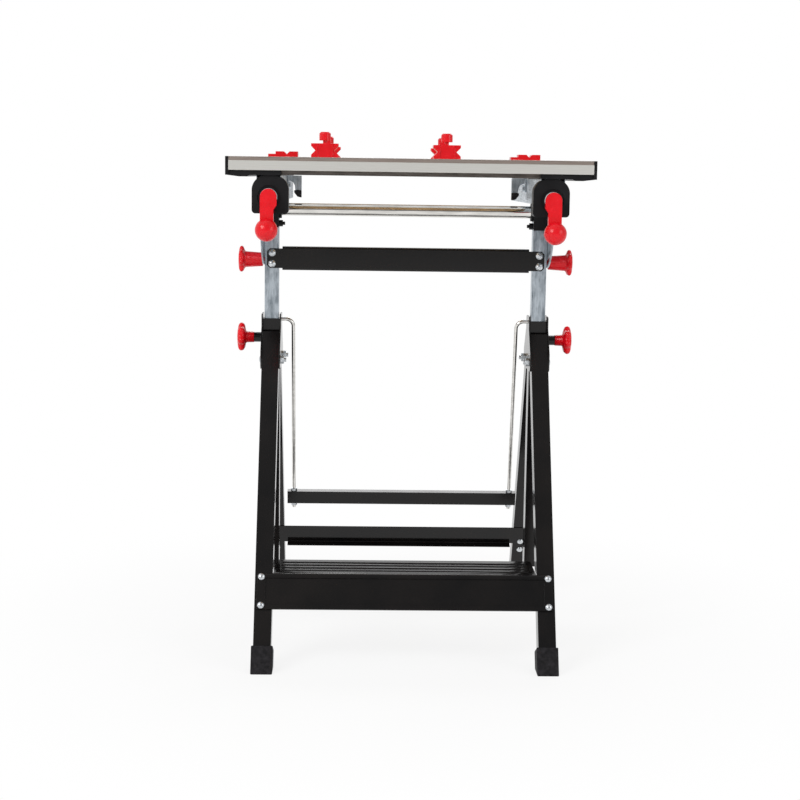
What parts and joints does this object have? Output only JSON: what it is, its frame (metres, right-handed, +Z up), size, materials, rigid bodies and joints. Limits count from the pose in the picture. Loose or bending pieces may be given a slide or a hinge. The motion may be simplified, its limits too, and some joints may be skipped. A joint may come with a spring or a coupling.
{
  "type": "folding workbench",
  "caption": "Folding vice workbench: two clamping boards on a tilting, rising head over A-frame legs with a step tray.",
  "frame": {"origin": "on the floor, midway between the posts, with the legs open", "axes": "+X to the right as the user stands at the cranks, +Y away from the user, +Z up"},
  "size_m": [0.605, 0.6163, 0.897],
  "materials": {
    "black_enamel": "gloss black stove enamel on steel tube and sheet",
    "zinc_plate": "bright galvanised steel with faint drawing marks",
    "chrome_plate": "bright chromium plate",
    "satin_aluminium": "satin anodised extrusion, brushed along its length",
    "laminated_board": "pressed bamboo board, sealed",
    "black_moulding": "fine-grained moulded black nylon",
    "red_moulding": "glossy moulded red ABS",
    "foot_rubber": "matt black rubber"
  },
  "bodies": {
    "centre_frame": {"sleeve_left": "black_enamel", "sleeve_right": "black_enamel", "hinge_plates_left": "black_enamel", "hinge_plates_right": "black_enamel", "pivot_bolts": "zinc_plate"},
    "front_legs": {"front_leg_left": "black_enamel", "front_leg_right": "black_enamel", "front_foot_caps": "foot_rubber", "tray": "black_enamel", "front_leg_bolts": "zinc_plate"},
    "rear_legs": {"rear_leg_left": "black_enamel", "rear_leg_right": "black_enamel", "rear_foot_caps": "foot_rubber", "rear_crossbar": "black_enamel", "rear_leg_bolts": "zinc_plate"},
    "bail": {"bail_rods": "chrome_plate", "bail_bar": "black_enamel", "bail_nuts": "zinc_plate"},
    "lift": {"post_left": "zinc_plate", "post_right": "zinc_plate", "hinge_head_left": "black_moulding", "hinge_head_right": "black_moulding", "tilt_tube": "chrome_plate", "upper_crossbar": "black_enamel", "lift_bolts": "zinc_plate"},
    "table": {"rail_left": "zinc_plate", "rail_right": "zinc_plate", "sector_plates": "zinc_plate", "screw_housing_left": "black_moulding", "screw_housing_right": "black_moulding", "cross_strip": "zinc_plate", "stop_plates": "zinc_plate", "stop_pads": "foot_rubber", "front_board": "laminated_board", "front_board_edging": "satin_aluminium", "front_board_ends": "black_moulding"},
    "rear_jaw": {"rear_board": "laminated_board", "rear_board_edging": "satin_aluminium", "rear_board_ends": "black_moulding", "jaw_nuts": "black_moulding"},
    "left_crank": {"vice_screw_left": "zinc_plate", "crank_left": "red_moulding"},
    "right_crank": {"vice_screw_right": "zinc_plate", "crank_right": "red_moulding"},
    "left_ball": {"crank_ball_left": "red_moulding"},
    "right_ball": {"crank_ball_right": "red_moulding"},
    "left_tilt_knob": {"tilt_knob_left": "red_moulding"},
    "right_tilt_knob": {"tilt_knob_right": "red_moulding"},
    "left_lift_knob": {"lift_knob_left": "red_moulding"},
    "right_lift_knob": {"lift_knob_right": "red_moulding"},
    "front_left_dog": {"front_dog_left": "red_moulding"},
    "front_right_dog": {"front_dog_right": "red_moulding"},
    "rear_left_dog": {"rear_dog_left": "red_moulding"},
    "rear_right_dog": {"rear_dog_right": "red_moulding"},
    "low_left_dog": {"low_dog_left": "red_moulding"},
    "low_right_dog": {"low_dog_right": "red_moulding"}
  },
  "joints": [
    {"name": "front_leg_fold", "type": "hinge", "parent": "centre_frame", "child": "front_legs", "pos_m": [0, -0.041, 0.499], "axis": [1, 0, 0], "range_deg": [0, 26.3]},
    {"name": "rear_leg_fold", "type": "hinge", "parent": "centre_frame", "child": "rear_legs", "pos_m": [0, 0.041, 0.499], "axis": [1, 0, 0], "range_deg": [-26.3, 0]},
    {"name": "bail_swing", "type": "hinge", "parent": "centre_frame", "child": "bail", "pos_m": [0, -0.008, 0.569], "axis": [1, 0, 0], "range_deg": [-14, 8]},
    {"name": "lift_slide", "type": "slide", "parent": "centre_frame", "child": "lift", "axis": [0, 0, 1], "range_m": [-0.07, 0.13]},
    {"name": "table_tilt", "type": "hinge", "parent": "lift", "child": "table", "pos_m": [0, 0, 0.765], "axis": [1, 0, 0], "range_deg": [0, 60]},
    {"name": "left_crank_turn", "type": "hinge", "parent": "table", "child": "left_crank", "pos_m": [-0.232, -0.28, 0.79], "axis": [0, 1, 0], "range_deg": [-4500.05, 5220.05]},
    {"name": "right_crank_turn", "type": "hinge", "parent": "table", "child": "right_crank", "pos_m": [0.232, -0.28, 0.79], "axis": [0, 1, 0], "range_deg": [-4500.05, 5220.05]},
    {"name": "rear_jaw_slide", "type": "slide", "parent": "table", "child": "rear_jaw", "axis": [0, 1, 0], "range_m": [-0.058, 0.05]},
    {"name": "left_ball_spin", "type": "hinge", "parent": "left_crank", "child": "left_ball", "pos_m": [-0.2345, -0.29, 0.737], "axis": [0, 1, 0], "continuous": true},
    {"name": "right_ball_spin", "type": "hinge", "parent": "right_crank", "child": "right_ball", "pos_m": [0.2345, -0.29, 0.737], "axis": [0, 1, 0], "continuous": true},
    {"name": "left_tilt_knob_turn", "type": "hinge", "parent": "lift", "child": "left_tilt_knob", "pos_m": [-0.27, 0, 0.675], "axis": [1, 0, 0], "continuous": true},
    {"name": "left_lift_knob_turn", "type": "hinge", "parent": "centre_frame", "child": "left_lift_knob", "pos_m": [-0.27, 0, 0.535], "axis": [1, 0, 0], "continuous": true},
    {"name": "right_tilt_knob_turn", "type": "hinge", "parent": "lift", "child": "right_tilt_knob", "pos_m": [0.27, 0, 0.675], "axis": [1, 0, 0], "continuous": true},
    {"name": "right_lift_knob_turn", "type": "hinge", "parent": "centre_frame", "child": "right_lift_knob", "pos_m": [0.27, 0, 0.535], "axis": [1, 0, 0], "continuous": true},
    {"name": "front_left_dog_turn", "type": "hinge", "parent": "table", "child": "front_left_dog", "pos_m": [-0.142, -0.22, 0.855], "axis": [0, 0, 1], "continuous": true},
    {"name": "front_right_dog_turn", "type": "hinge", "parent": "table", "child": "front_right_dog", "pos_m": [0.059, -0.22, 0.855], "axis": [0, 0, 1], "continuous": true},
    {"name": "rear_left_dog_turn", "type": "hinge", "parent": "rear_jaw", "child": "rear_left_dog", "pos_m": [-0.1425, 0.111, 0.855], "axis": [0, 0, 1], "continuous": true},
    {"name": "rear_right_dog_turn", "type": "hinge", "parent": "rear_jaw", "child": "rear_right_dog", "pos_m": [0.069, 0.111, 0.855], "axis": [0, 0, 1], "continuous": true},
    {"name": "low_left_dog_turn", "type": "hinge", "parent": "rear_jaw", "child": "low_left_dog", "pos_m": [-0.23, 0.2, 0.855], "axis": [0, 0, 1], "continuous": true},
    {"name": "low_right_dog_turn", "type": "hinge", "parent": "rear_jaw", "child": "low_right_dog", "pos_m": [0.23, 0.2, 0.855], "axis": [0, 0, 1], "continuous": true}
  ],
  "couplings": [
    {"joint": "left_crank_turn", "follows": "rear_jaw_slide", "rad_per_m": -1570.8},
    {"joint": "right_crank_turn", "follows": "rear_jaw_slide", "rad_per_m": -1570.8}
  ]
}
